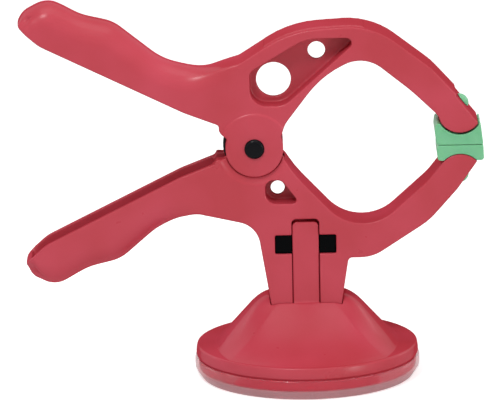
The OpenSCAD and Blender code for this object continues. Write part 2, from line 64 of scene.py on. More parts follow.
NECK_FOOT = DOME_TOP - SOCKET_D
DOME_WEB = NECK_FOOT - SEAT_FIT - 3
HEAD_Z, HEAD_T, WASHER_T = 10.5, 2.0, 1.2

# The photograph: its size, the place of the frame's origin in it and its scale, in pixels; how
# far the view looks down and leans, in degrees; how far off the camera stands, in metres
PHOTO_W, PHOTO_H, ORIGIN_U, ORIGIN_V, PX_PER_MM = 500, 400, 307.6, 371.7, 2.8
VIEW_DOWN, VIEW_LEAN, VIEW_FAR = 13.5, 1.1, 2.2

# Moulded skins: the size of a face in millimetres, the smoothing passes, the share of faces kept
LEVER_SKIN, DOME_SKIN = (0.3, 2, 0.3), (0.3, 3, 0.3)
SHOE_SKIN, KEY_SKIN = (0.2, 3, 0.5), (0.25, 2, 0.4)
SHARP_PAST = 50
# Steps on each rounded corner of an outline
CORNER_STEPS = 8

# The rounding of the handles' backs: where it starts along each handle, the length it runs in
# over, its depth, the rise of the crown in the middle and how far past the end that runs out
GRIP_START, GRIP_RUN, GRIP_R, GRIP_CROWN, CROWN_PAST = {1: 18.0, -1: 27.0}, 16, 7.5, 1.6, 3
# How far it keeps from the handle's open edge, the width it fades over there, the power of its
# oval (2 is a circle's), and the passes that even it out
GRIP_EDGE, GRIP_EDGE_RUN, GRIP_OVAL, GRIP_PASSES = 0.5, 6.5, 2.3, 20
# Marks on each piece of the back, how squarely a mark has to face out, and how far outside its
# mark a point may lie
GRIP_MARKS, GRIP_FACING, GRIP_STRAY = 12, -0.3, 1
# The raised ring round the ear: its radius, height, the width of its edge, and how deep the skin
# that it lifts
BOSS_RING_R, BOSS_RING_H, RING_EDGE, RING_SKIN = 12.5, 0.4, 0.8, 0.6
# The seat under the ear: its radius, how broadly its rim is eased, how deep and by how much
SEAT_R, SEAT_EASE, SEAT_DEPTH, SEAT_SINK = 11.0, 2.6, 1.5, 0.8
# The wall of the seat: how broadly it is drawn in, how deep, by how much, and the fade below
WALL_EASE, WALL_DEPTH, WALL_DRAW, WALL_FADE = 1.2, 2.4, 0.5, 0.8
# Slack inside the seat's radius, for its rim and for its wall
RIM_SLACK, WALL_SLACK = 0.4, 0.3
# How far the key is lengthened at each end, and the distance out at which that is reached
KEY_FILL, KEY_HALF = 0.15, 10
# The dome's foot at front and back, and the power of its oblong top
DOME_FOOT_R, DOME_SQUARE = FLANGE_R - 1.6, 5
# The dome's profiles: at the sides a round shoulder, at the front a foot that sweeps out
SHOULDER, SHOULDER_END, SWEEP, SWEEP_POWER = 0.15, 0.25, 0.22, 6
# The small fillet at the dome's foot
FILLET = 0.4
# Edge radius of the flange and skirt, then the flange's lower edge and the rise of the cup's
# lip: both sit a little higher in the photograph than in the CAD
EDGE_R, FLANGE_FOOT, LIP_RISE = 0.5, FLANGE_Z + 0.7, 0.9
# The tongues' corner radius, and how much of the gap beside them their softened edges take up
TONGUE_R, TONGUE_EASE = 1.7, 0.15


# ---------------------------------------------------------------- colours and nodes

def rgb(hex_value):
    """An sRGB hex colour as Blender's linear one, opaque."""
    part = [int(hex_value[i:i + 2], 16) / 255 for i in (1, 3, 5)]
    return (*(c / 12.92 if c <= 0.04045 else ((c + 0.055) / 1.055) ** 2.4 for c in part), 1.0)


def add(tree, kind, links=None, **settings):
    """Adds one node. links maps an input's name or number to a socket or to a plain value."""
    node = tree.nodes.new(kind)
    for name, value in settings.items():
        setattr(node, name, value)
    for key, value in (links or {}).items():
        if isinstance(value, bpy.types.NodeSocket):
            tree.links.new(value, node.inputs[key])
        else:
            node.inputs[key].default_value = value
    return node


def new_material(name, values):
    """A material of one shader, with plain values for its inputs by name."""
    mat = bpy.data.materials.new(name)
    mat.use_nodes = True
    tree = mat.node_tree
    tree.nodes.clear()
    out = add(tree, "ShaderNodeOutputMaterial")
    shader = add(tree, "ShaderNodeBsdfPrincipled", values)
    tree.links.new(shader.outputs[0], out.inputs[0])
    return mat, tree, shader


def mm_pattern(tree, size_mm, detail, seed):
    """Noise with grains of size_mm on the object's own metres."""
    where = add(tree, "ShaderNodeTexCoord")
    moved = add(tree, "ShaderNodeMapping", {0: where.outputs["Object"], 1: (seed, seed, seed)})
    return add(tree, "ShaderNodeTexNoise", {"Vector": moved.outputs[0], "Scale": 1 / MM / size_mm,
                                            "Detail": detail})


# ---------------------------------------------------------------- materials

def glass_filled_nylon():
    """Injection-moulded nylon, dyed red through: a soft gloss from the polished mould that fades
    at a glancing view, a very fine orange peel, and slow cloudy drifts of the dye."""
    mat, tree, shader = new_material("moulded_red_nylon", {"IOR": 1.53})
    cloud = mm_pattern(tree, 30, 2, 3.1)
    dye = add(tree, "ShaderNodeValToRGB", {0: cloud.outputs[0]})
    for end, place, colour in zip(dye.color_ramp.elements, (0.35, 0.68), ("#bc3e49", "#c84858")):
        end.position, end.color = place, rgb(colour)
    tree.links.new(dye.outputs[0], shader.inputs["Base Color"])
    wear = mm_pattern(tree, 9, 3, 7.7)
    gloss = add(tree, "ShaderNodeMapRange", {0: wear.outputs[0], 3: 0.24, 4: 0.36})
    tree.links.new(gloss.outputs[0], shader.inputs["Roughness"])
    glance = add(tree, "ShaderNodeLayerWeight", {0: 0.5})
    shine = add(tree, "ShaderNodeMapRange", {0: glance.outputs["Facing"], 1: 0.05, 2: 0.72,
                                             3: 0.27, 4: 0.0})
    tree.links.new(shine.outputs[0], shader.inputs["Specular IOR Level"])
    # The real orange peel is finer than this. It is drawn as coarse as it needs to show.
    peel = mm_pattern(tree, 1.6, 2, 1.3)
    bump = add(tree, "ShaderNodeBump", {"Height": peel.outputs[0], "Strength": 0.06,
                                        "Distance": 0.4 * MM})
    tree.links.new(bump.outputs[0], shader.inputs["Normal"])
    return mat


def soft_elastomer():
    """Green thermoplastic elastomer: satin, with light that passes a little way in and the faint
    grain of a spark-eroded mould."""
    mat, tree, shader = new_material("green_elastomer", {
        "Roughness": 0.45, "IOR": 1.5, "Subsurface Weight": 0.35,
        "Subsurface Radius": (0.7, 1.0, 0.5), "Subsurface Scale": 1.2 * MM})
    cloud = mm_pattern(tree, 12, 2, 5.2)
    dye = add(tree, "ShaderNodeValToRGB", {0: cloud.outputs[0]})
    for end, place, colour in zip(dye.color_ramp.elements, (0.35, 0.7), ("#70bd8c", "#84cb9c")):
        end.position, end.color = place, rgb(colour)
    tree.links.new(dye.outputs[0], shader.inputs["Base Color"])
    # The mould's own grain is a tenth of a millimetre. It is drawn coarser, so that it shows.
    grain = mm_pattern(tree, 0.7, 2, 2.4)
    bump = add(tree, "ShaderNodeBump", {"Height": grain.outputs[0], "Strength": 0.12,
                                        "Distance": 0.2 * MM})
    tree.links.new(bump.outputs[0], shader.inputs["Normal"])
    return mat


def black_oxide(name, roughness):
    """Steel blackened with oxide and oiled: nearly black, with a slightly blue shine that varies
    a little with the oil."""
    mat, tree, shader = new_material(name, {"Base Color": rgb("#0a0a0e"),
                                            "Specular IOR Level": 0.12})
    tone = mm_pattern(tree, 2.5, 3, 4.4)
    gloss = add(tree, "ShaderNodeMapRange", {0: tone.outputs[0], 3: roughness - 0.05,
                                             4: roughness + 0.09})
    tree.links.new(gloss.outputs[0], shader.inputs["Roughness"])
    bump = add(tree, "ShaderNodeBump", {"Height": tone.outputs[0], "Strength": 0.05,
                                        "Distance": 0.2 * MM})
    tree.links.new(bump.outputs[0], shader.inputs["Normal"])
    return mat


def black_acetal():
    """Moulded black acetal: smooth and waxy, with the dull skin of the mould."""
    mat, tree, shader = new_material("black_acetal", {
        "Base Color": rgb("#040506"), "IOR": 1.48, "Specular IOR Level": 0.04})
    skin = mm_pattern(tree, 1.1, 2, 6.1)
    gloss = add(tree, "ShaderNodeMapRange", {0: skin.outputs[0], 3: 0.4, 4: 0.55})
    tree.links.new(gloss.outputs[0], shader.inputs["Roughness"])
    bump = add(tree, "ShaderNodeBump", {"Height": skin.outputs[0], "Strength": 0.08,
                                        "Distance": 0.2 * MM})
    tree.links.new(bump.outputs[0], shader.inputs["Normal"])
    return mat


def clear_pvc():
    """Soft clear PVC: see-through, glossy and a little wavy. Its pink base colour is painted: it
    stands in for the red base seen through the clear cup and mirrored in it."""
    # The pink base colour is a painted cast of the red base seen through the clear cup, not a dye.
    mat, tree, shader = new_material("clear_soft_pvc", {
        "Base Color": rgb("#f26579"), "Roughness": 0.08, "IOR": 1.4, "Transmission Weight": 0.6,
        "Alpha": 0.54})
    wave = mm_pattern(tree, 14, 1, 8.3)
    bump = add(tree, "ShaderNodeBump", {"Height": wave.outputs[0], "Strength": 0.15,
                                        "Distance": 1.0 * MM})
    tree.links.new(bump.outputs[0], shader.inputs["Normal"])
    return mat


def zinc_plate():
    """Bright zinc on steel: light grey metal with a faint spangle."""
    mat, tree, shader = new_material("bright_zinc", {"Base Color": rgb("#b9bbbe"),
                                                     "Metallic": 1.0})
    spangle = mm_pattern(tree, 1.5, 1, 9.9)
    gloss = add(tree, "ShaderNodeMapRange", {0: spangle.outputs[0], 3: 0.25, 4: 0.45})
    tree.links.new(gloss.outputs[0], shader.inputs["Roughness"])
    return mat


# ---------------------------------------------------------------- mesh helpers

def mesh_object(name, mesh, mat):
    """A new object in the scene with one material."""
    obj = bpy.data.objects.new(name, mesh)
    bpy.context.scene.collection.objects.link(obj)
    mesh.materials.clear()
    mesh.materials.append(mat)
    return obj


def plain(obj):
    """Turns an object with modifiers into a plain mesh."""
    graph = bpy.context.evaluated_depsgraph_get()
    graph.update()
    done = bpy.data.meshes.new_from_object(obj.evaluated_get(graph))
    obj.modifiers.clear()
    old = obj.data
    obj.data = done
    if old.users == 0:
        bpy.data.meshes.remove(old)


def smooth_faces(obj, angle):
    """Smooth shading, with the edges past that angle left sharp."""
    for face in obj.data.polygons:
        face.use_smooth = True
    obj.data.set_sharp_from_angle(angle=math.radians(angle))


def cad_copy(node, name, mat):
    """A copy of a CAD solid, its corners joined up, to work on."""
    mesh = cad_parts[node].data.copy()
    work = bmesh.new()
    work.from_mesh(mesh)
    bmesh.ops.remove_doubles(work, verts=work.verts, dist=2e-6)
    work.to_mesh(mesh)
    work.free()
    return mesh_object(name, mesh, mat)


def carve(obj, name, mesh, mat, how):
    """Adds a closed mesh to this object, or cuts it away."""
    other = mesh_object(name, mesh, mat)
    op = obj.modifiers.new("carve", "BOOLEAN")
    op.operation, op.solver, op.object = how, "EXACT", other
    plain(obj)
    bpy.data.objects.remove(other)
    bpy.data.meshes.remove(mesh)


def mould(obj, mat, skin, shape=None):
    """Eases the edges as a mould leaves them: an even skin of small faces, drawn together a
    little, shaped further where a piece asks for it, then thinned where it is flat."""
    voxel, passes, keep = skin
    even = obj.modifiers.new("skin", "REMESH")
    even.mode = "VOXEL"
    even.voxel_size = voxel * 1 * MM
    even.use_smooth_shade = True
    ease = obj.modifiers.new("ease", "SMOOTH")
    ease.factor, ease.iterations = 0.5, passes
    plain(obj)
    if shape:
        shape(obj)
    obj.modifiers.new("thin", "DECIMATE").ratio = keep
    plain(obj)
    obj.data.materials.clear()
    obj.data.materials.append(mat)
    smooth_faces(obj, SHARP_PAST)


def moulded(node, name, mat, skin, shape=None):
    """A CAD solid with its edges eased."""
    obj = cad_copy(node, name, mat)
    mould(obj, mat, skin, shape)
    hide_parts(node)
    return obj


def lathe(profile, steps):
    """A mesh spun from (radius, height) points in millimetres about the Z axis."""
    work = bmesh.new()
    rings = []
    for r, h in profile:
        if r < 1e-6:
            rings.append([work.verts.new((0, 0, h * MM))])
        else:
            rings.append([work.verts.new((r * MM * math.cos(2 * math.pi * k / steps),
                                          r * MM * math.sin(2 * math.pi * k / steps), h * MM))
                          for k in range(steps)])
    for a, b in zip(rings, rings[1:]):
        for k in range(steps):
            n = (k + 1) % steps
            if len(a) == 1 and len(b) == 1:
                continue
            if len(a) == 1:
                work.faces.new((a[0], b[n], b[k]))
            elif len(b) == 1:
                work.faces.new((a[k], a[n], b[0]))
            else:
                work.faces.new((a[k], a[n], b[n], b[k]))
    bmesh.ops.remove_doubles(work, verts=work.verts, dist=1e-6)
    bmesh.ops.recalc_face_normals(work, faces=work.faces)
    mesh = bpy.data.meshes.new("lathe")
    work.to_mesh(mesh)
    work.free()
    return mesh


def turned(name, profile, mat, axis_point, direction, steps, angle=40):
    """A turned piece, spun about a line through axis_point."""
    mesh = lathe(profile, steps)
    mesh.name = name
    turn = Vector((0, 0, 1)).rotation_difference(Vector(direction)).to_matrix().to_4x4()
    mesh.transform(Matrix.Translation(Vector(axis_point) * MM) @ turn)
    obj = mesh_object(name, mesh, mat)
    smooth_faces(obj, angle)
    return obj


def loft(rings):
    """A closed mesh through rings of equally many points, in millimetres, with flat ends."""
    work = bmesh.new()
    made = [[work.verts.new(Vector(p) * MM) for p in ring] for ring in rings]
    count = len(made[0])
    for a, b in zip(made, made[1:]):
        for k in range(count):
            n = (k + 1) % count
            work.faces.new((a[k], a[n], b[n], b[k]))
    work.faces.new(made[0])
    work.faces.new(made[-1])
    bmesh.ops.recalc_face_normals(work, faces=work.faces)
    mesh = bpy.data.meshes.new("loft")
    work.to_mesh(mesh)
    work.free()
    return mesh


def plate(outline, y0, y1):
    """A flat piece from (x, z) points, between two depths."""
    return loft([[(x, y, z) for x, z in outline] for y in (y0, y1)])


def arc(cx, cy, r, start, stop, n):
    """Points on an arc, in degrees."""
    return [(cx + r * math.cos(math.radians(start + (stop - start) * i / n)),
             cy + r * math.sin(math.radians(start + (stop - start) * i / n))) for i in range(n + 1)]


def rounded(corners):
    """A closed outline from (x, z, radius) corners, each filled with an arc."""
    points, n = [], len(corners)
    for i, (x, z, r) in enumerate(corners):
        b = Vector((x, z))
        u = Vector(corners[i - 1][:2]) - b
        v = Vector(corners[(i + 1) % n][:2]) - b
        half = u.angle(v) / 2
        run = min(r / math.tan(half), 0.49 * min(u.length, v.length))
        rr = run * math.tan(half)
        u.normalize()
        v.normalize()
        mid = b + (u + v).normalized() * rr / math.sin(half)
        start, stop = b + u * run - mid, b + v * run - mid
        sweep = start.angle_signed(stop)
        for k in range(CORNER_STEPS + 1):
            turned_by = start.copy()
            turned_by.rotate(Matrix.Rotation(-sweep * k / CORNER_STEPS, 2))
            points.append(mid + turned_by)
    return points


def smooth_step(share):
    """From 0 to 1 with a level start and end, and held outside those."""
    share = min(max(share, 0.0), 1.0)
    return share * share * (3 - 2 * share)


# ---------------------------------------------------------------- scene

def make_camera():
    """The photograph's view: square to the clamp's front, from a little above and far off, with
    the frame's origin where the photograph has it."""
    down, lean = math.radians(VIEW_DOWN), math.radians(VIEW_LEAN)
    forward = Vector((0, math.cos(down), -math.sin(down)))
    right, up = Vector((1, 0, 0)), Vector((0, math.sin(down), math.cos(down)))
    du = (PHOTO_W / 2 - ORIGIN_U) / PX_PER_MM * MM
    dv = (ORIGIN_V - PHOTO_H / 2) / PX_PER_MM * MM
    across = du * math.cos(lean) + dv * math.sin(lean)
    above = dv * math.cos(lean) - du * math.sin(lean)
    target = right * across + up * above
    cam_right = right * math.cos(lean) - up * math.sin(lean)
    cam_up = right * math.sin(lean) + up * math.cos(lean)
    data = bpy.data.cameras.new("camera")
    data.lens = data.sensor_width * VIEW_FAR / (PHOTO_W / PX_PER_MM * MM)
    data.clip_start, data.clip_end = 0.01, 50
    cam = bpy.data.objects.new("camera", data)
    bpy.context.scene.collection.objects.link(cam)
    turn = Matrix((cam_right, cam_up, -forward)).transposed()
    cam.matrix_world = Matrix.Translation(target - forward * VIEW_FAR) @ turn.to_4x4()
    bpy.context.scene.camera = cam


def area_light(name, place, target, size, power):
    """A soft oblong lamp, aimed at a point. Places and sizes in millimetres, power in watts."""
    data = bpy.data.lights.new(name, "AREA")
    data.shape = "RECTANGLE"
    data.size, data.size_y = size[0] * MM, size[1] * MM
    data.energy = power
    obj = bpy.data.objects.new(name, data)
    bpy.context.scene.collection.objects.link(obj)
    obj.location = Vector(place) * MM
    obj.rotation_mode = "QUATERNION"
    obj.rotation_quaternion = (Vector(target) - Vector(place)).to_track_quat("-Z", "Y")


def make_floor():
    """A wide sheet of paper that glows for the camera, and only faintly for the object."""
    mat = bpy.data.materials.new("white_sweep")
    mat.use_nodes = True
    tree = mat.node_tree
    tree.nodes.clear()
    out = add(tree, "ShaderNodeOutputMaterial")
    paper = add(tree, "ShaderNodeBsdfDiffuse", {0: rgb("#e8e8e8")})
    path = add(tree, "ShaderNodeLightPath")
    shine = add(tree, "ShaderNodeMath", {0: path.outputs["Is Camera Ray"], 1: 0.55, 2: 0.1},
                operation="MULTIPLY_ADD")
    glow = add(tree, "ShaderNodeEmission", {0: (1, 1, 1, 1), 1: shine.outputs[0]})
    both = add(tree, "ShaderNodeAddShader", {0: paper.outputs[0], 1: glow.outputs[0]})
    tree.links.new(both.outputs[0], out.inputs[0])
    mesh = bpy.data.meshes.new("floor")
    work = bmesh.new()
    bmesh.ops.create_grid(work, x_segments=1, y_segments=1, size=6)
    work.to_mesh(mesh)
    work.free()
    floor = mesh_object("floor", mesh, mat)
    floor.location = (0, 0, -0.05 * MM)


def make_world():
    """White where it is seen, mirrored or seen through, and dimmer as light on the object."""
    world = bpy.data.worlds.new("studio")
    bpy.context.scene.world = world
    world.use_nodes = True
    tree = world.node_tree
    tree.nodes.clear()
    out = add(tree, "ShaderNodeOutputWorld")
    soft = add(tree, "ShaderNodeBackground", {0: (1, 1, 1, 1), 1: 0.36})
    white = add(tree, "ShaderNodeBackground", {0: (1, 1, 1, 1), 1: 1.0})
    path = add(tree, "ShaderNodeLightPath").outputs
    seen = path["Is Camera Ray"]
    for kind in ("Is Glossy Ray", "Is Transmission Ray"):
        seen = add(tree, "ShaderNodeMath", {0: seen, 1: path[kind]}, operation="MAXIMUM").outputs[0]
    mix = add(tree, "ShaderNodeMixShader", {0: seen, 1: soft.outputs[0], 2: white.outputs[0]})
    tree.links.new(mix.outputs[0], out.inputs[0])


def make_lamps():
    """The key from above the handles, a fill from the right, a broad light overhead, and two
    from behind for the edges."""
    area_light("key", (-180, -430, 600), (-10, 0, 60), (155, 125), 1.7)
    area_light("fill", (700, -600, 140), (0, 0, 60), (180, 180), 1.5)
    area_light("top", (0, -100, 900), (0, 0, 60), (800, 600), 2.3)
    area_light("left_edge", (-800, 500, 420), (0, 0, 60), (300, 300), 0.9)
    area_light("right_edge", (800, 500, 420), (0, 0, 60), (300, 300), 1.3)


# ---------------------------------------------------------------- levers and shoes

def grip(s, t, side):
    """A point in a handle's frame, s along it and t outwards, from the pivot in X and Z."""
    a, out = math.radians(HANDLE_ANGLE), t + side * HANDLE_LIFT
    return (-s * math.cos(a) + out * math.sin(a), side * (s * math.sin(a) + out * math.cos(a)))


def in_grip(x, z, side):
    """The way back: s and t of a point, from the pivot in X and Z."""
    a = math.radians(HANDLE_ANGLE)
    return (-x * math.cos(a) + side * z * math.sin(a),
            x * math.sin(a) + side * z * math.cos(a) - side * HANDLE_LIFT)


def facing(n, side):
    """How squarely a direction in X and Z points out of the handle's back, up to 1."""
    a = math.radians(HANDLE_ANGLE)
    return n.x * math.sin(a) + side * n.y * math.cos(a)


def from_pin(v):
    """A vertex's distance from the pin's axis, and its depth, in millimetres."""
    return math.hypot(v.co.x / MM - PIVOT_X, v.co.z / MM - PIVOT_Z), v.co.y / MM


def grip_outline(length, side):
    """The back of a handle, from its open edge round the end to the hub, closed at the pivot."""
    corners = [(15, 0.3, 1), (28, -0.9, 20), (length - 10, -1.1, 15), (length, 1.6, 1.6),
               (length, 6.2, 8), (length - 5.6, 13.1, 8), (length - 19, 12.4, 20),
               (length - 30.5, 15.1, 14), (WAIST_S, WAIST_T, 22)]
    hub = {1: [(-20, 26.6, 20), (-4.6, 30.7, 0.8)], -1: [(-21, -23.3, 14), (-15.8, -24.4, 1)]}
    return rounded([grip(s, t, side) + (r,) for s, t, r in corners] + hub[side] + [(0, 0, 1)])


def grip_marks(length, side):
    """Points close together along a handle's back, each with its way out. The corner at the
    pivot and the edges that face back into the handle have none."""
    back, marks = grip_outline(length, side)[:-(CORNER_STEPS + 1)], []
    for a, b in zip(back, back[1:]):
        if (b - a).length > 1e-6:
            along = (b - a).normalized()
            out = Vector((along.y, -along.x)) * -side
            if facing(out, side) > GRIP_FACING:
                marks += [(a.lerp(b, k / GRIP_MARKS), out) for k in range(GRIP_MARKS)]
    return marks


def round_grip(obj, length, side):
    """Rounds the back of a handle across its width, square to oval, with a crown in the middle.
    It runs out towards the hub and at the open edge."""
    marks, half, moved = grip_marks(length, side), ARM_W / 2, []
    tree = kdtree.KDTree(len(marks))
    for i, (p, _) in enumerate(marks):
        tree.insert((p.x, p.y, 0), i)
    tree.balance()
    for v in obj.data.vertices:
        x, z, y = v.co.x / MM - PIVOT_X, v.co.z / MM - PIVOT_Z, v.co.y / MM
        s, t = in_grip(x, z, side)
        if s < GRIP_START[side] or t < GRIP_EDGE:
            continue
        fade = (smooth_step((s - GRIP_START[side]) / GRIP_RUN)
                * smooth_step((t - GRIP_EDGE) / GRIP_EDGE_RUN))
        p, n = marks[tree.find((x, z, 0))[1]]
        deep = -(Vector((x, z)) - p).dot(n)
        if deep > GRIP_R or deep < -GRIP_STRAY:
            continue
        back = max(0.0, facing(n, side))
        if side > 0:
            back *= smooth_step((length + CROWN_PAST - s) / GRIP_RUN)
        over, up = abs(y) / half, 1 - deep / GRIP_R
        oval = (over ** GRIP_OVAL + up ** GRIP_OVAL) ** (1 / GRIP_OVAL)
        pull = max(over, up) / max(oval, 1e-6)
        pull = 1 + (pull - 1) * fade
        new = GRIP_R - (GRIP_R + GRIP_CROWN * fade * back) * up * pull
        shift = n * (deep - new)
        v.co.x += shift.x * MM
        v.co.z += shift.y * MM
        v.co.y = math.copysign(over * pull * half, y) * MM
        moved.append(v.index)
    obj.vertex_groups.new(name="grip").add(moved, 1.0, "REPLACE")
    even = obj.modifiers.new("even", "SMOOTH")
    even.factor, even.iterations, even.vertex_group = 0.5, GRIP_PASSES, "grip"
    plain(obj)
    obj.vertex_groups.clear()


def shape_upper(obj):
    """The upper lever's broad grip, and the low round boss about its pivot."""
    round_grip(obj, UPPER_L, 1)
    for v in obj.data.vertices:
        far, y = from_pin(v)
        if far < BOSS_RING_R + 1 and abs(y) > ARM_W / 2 - RING_SKIN:
            rise = BOSS_RING_H * smooth_step((BOSS_RING_R + RING_EDGE / 2 - far) / RING_EDGE)
            v.co.y += math.copysign(rise, y) * MM


def shape_lower(obj):
    """The lower lever's broad grip, and the eased rim of the seat that the ears turn in."""
    round_grip(obj, LOWER_L, -1)
    for v in obj.data.vertices:
        far, y = from_pin(v)
        drop = ARM_W / 2 - abs(y)
        if SEAT_R - RIM_SLACK < far < SEAT_R + SEAT_EASE and drop < SEAT_DEPTH:
            bow = 1 - smooth_step((far - SEAT_R) / SEAT_EASE)
            sink = SEAT_SINK * bow * (1 - drop / SEAT_DEPTH)
            v.co.y = math.copysign(ARM_W / 2 - drop - sink, y) * MM
        if SEAT_R - WALL_SLACK < far < SEAT_R + WALL_EASE and 0 <= drop < WALL_DEPTH:
            pull = (WALL_DRAW * smooth_step((SEAT_R + WALL_EASE - far) / WALL_EASE)
                    * smooth_step((WALL_DEPTH - drop) / WALL_FADE))
            v.co.x += (PIVOT_X * MM - v.co.x) * pull / far
            v.co.z += (PIVOT_Z * MM - v.co.z) * pull / far


def make_arms(red, green):
    """The two levers and the soft shoes on their jaw tips."""
    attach(moulded("upper_arm", "upper_lever", red, LEVER_SKIN, shape_upper), "upper_jaw")
    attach(moulded("lower_arm", "lower_lever", red, LEVER_SKIN, shape_lower), "base")
    upper = moulded("upper_pad", "upper_shoe", green, SHOE_SKIN)
    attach(upper, "upper_jaw")
    lower = moulded("lower_pad", "lower_shoe", green, SHOE_SKIN)
    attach(lower, "base")


# ---------------------------------------------------------------- spring and pin

def wire_path():
    """The spring's run: a leg along the lower handle, the coil round the pin, the other leg."""
    short, gap, coil_steps, leg_steps = 3, 0.3, 96, 12
    leave = {}
    for side in (-1, 1):
        x, z = grip(WAIST_S - short, WAIST_T - HANDLE_WALL - WIRE_D / 2 - gap, side)
        leave[side] = math.atan2(z, x) - side * math.acos(COIL_R / math.hypot(x, z))
    sweep = leave[1] - leave[-1]
    sweep += 2 * math.pi * (COIL_TURNS - round((sweep - math.pi / 2) / (2 * math.pi)))
    run = sweep / (2 * math.pi) * COIL_PITCH
    path = []
    for i in range(coil_steps + 1):
        a, f = leave[-1] + sweep * i / coil_steps, i / coil_steps
        path.append(Vector((COIL_R * math.cos(a), run * (0.5 - f), COIL_R * math.sin(a))))
    for side, end in ((-1, 0), (1, -1)):
        a = leave[side]
        away = Vector((-side * math.sin(a), 0, side * math.cos(a)))
        leg = [path[end] + away * LEG_L * k / leg_steps for k in range(1, leg_steps + 1)]
        path = leg[::-1] + path if end == 0 else path + leg
    return [(p + Vector((PIVOT_X - COIL_BACK, 0, PIVOT_Z))) * MM for p in path]


def make_spring(mat):
    """The torsion spring: round wire swept along its path by a node tree."""
    path = wire_path()
    mesh = bpy.data.meshes.new("spring_wire")
    mesh.from_pydata([tuple(p) for p in path], [(i, i + 1) for i in range(len(path) - 1)], [])
    obj = mesh_object("spring_wire", mesh, mat)
    tree = bpy.data.node_groups.new("wire_sweep", "GeometryNodeTree")
    face = tree.interface
    face.new_socket("Path", in_out="INPUT", socket_type="NodeSocketGeometry")
    thick = face.new_socket("Wire radius", in_out="INPUT", socket_type="NodeSocketFloat")
    finish = face.new_socket("Finish", in_out="INPUT", socket_type="NodeSocketMaterial")
    face.new_socket("Wire", in_out="OUTPUT", socket_type="NodeSocketGeometry")
    given = add(tree, "NodeGroupInput")
    line = add(tree, "GeometryNodeMeshToCurve", {0: given.outputs["Path"]})
    ring = add(tree, "GeometryNodeCurvePrimitiveCircle",
               {"Resolution": 14, 4: given.outputs["Wire radius"]})
    tube = add(tree, "GeometryNodeCurveToMesh", {0: line.outputs[0], 1: ring.outputs[0],
                                                 "Fill Caps": True})
    soft = add(tree, "GeometryNodeSetShadeSmooth", {0: tube.outputs[0]})
    whole = add(tree, "GeometryNodeRealizeInstances", {0: soft.outputs[0]})
    dressed = add(tree, "GeometryNodeSetMaterial", {0: whole.outputs[0],
                                                    "Material": given.outputs["Finish"]})
    result = add(tree, "NodeGroupOutput")
    tree.links.new(dressed.outputs[0], result.inputs[0])
    sweep = obj.modifiers.new("sweep", "NODES")
    sweep.node_group = tree
    sweep[thick.identifier] = WIRE_D / 2 * MM
    sweep[finish.identifier] = mat
    plain(obj)
    smooth_faces(obj, SHARP_PAST)
    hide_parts("torsion_spring")
    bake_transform(obj)


def make_pin(mat):
    """Domed head with a flat in its middle, and the push-on cap behind."""
    front, back = -ARM_W / 2, ARM_W / 2
    head = ([(0, PIN_RISE), (2.4, PIN_RISE)] + arc(2.4, 0.35, PIN_RISE - 0.35, 90, 0, 7)[1:]
            + [(PIN_HEAD_R, 0.2), (PIN_HEAD_R, 0.0), (PIN_R, 0.0), (PIN_R, -ARM_W - 1.4),
               (PIN_R - 0.3, -ARM_W - 1.5), (0, -ARM_W - 1.5)])
    pin = turned("pin", head, mat, (PIVOT_X, front, PIVOT_Z), (0, -1, 0), 64)
    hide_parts("pivot_pin")
    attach(pin, "base")
    cap = [(2.52, 0.0), (4.3, 0.0), (4.3, 0.45), (4.1, 0.6), (3.7, 0.65), (3.55, 1.2),
           (3.2, 1.5), (2.52, 1.5), (2.52, 0.0)]
    nut = turned("pin_cap", cap, mat, (PIVOT_X, back, PIVOT_Z), (0, 1, 0), 64)
    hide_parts("pin_push_nut")
    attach(nut, "base")


# ---------------------------------------------------------------- base, cup and key

def dome_plan(a, w):
    """Reach of the dome at angle a and share w down from its top, in millimetres. The top is a
    rounded oblong, the foot two bows that meet inside the flange's circle."""
    cos, sin, c = abs(math.cos(a)), abs(math.sin(a)), BOW_R - DOME_SIDE
    foot = min(DOME_FOOT_R, -c * cos + math.sqrt((c * cos) ** 2 + BOW_R ** 2 - c ** 2))
    top = ((cos / DOME_TOP_X) ** DOME_SQUARE
           + (sin / DOME_TOP_Y) ** DOME_SQUARE) ** (-1 / DOME_SQUARE)
    s = min(w / SHOULDER_END, 1)
    side = (1 - SHOULDER) * w + SHOULDER * math.sqrt(s * (2 - s))
    front = (1 - SWEEP) * w + SWEEP * w ** SWEEP_POWER
    return top + (foot - top) * (side * cos ** 2 + front * sin ** 2)


def dome_shell(mat, sides=160):
    """The dome's outside. Its rings lie closer together near the top, and the last one is sunk
    into the flange. The fillet leaves out the two points of the foot."""
    height, rings = DOME_TOP - FLANGE_TOP, []
    for w in [(i / 30) ** 1.6 for i in range(31)] + [1.06]:
        rise = (1 - min(w, 1)) * height
        fillet = FILLET * math.exp(-rise / FILLET)
        ring = []
        for k in range(sides):
            a = 2 * math.pi * k / sides
            reach = dome_plan(a, min(w, 1)) + fillet * (abs(math.sin(a)) < 0.97)
            ring.append((reach * math.cos(a), reach * math.sin(a), DOME_TOP - w * height))
        rings.append(ring)
    return mesh_object("dome_shell", loft(rings), mat)


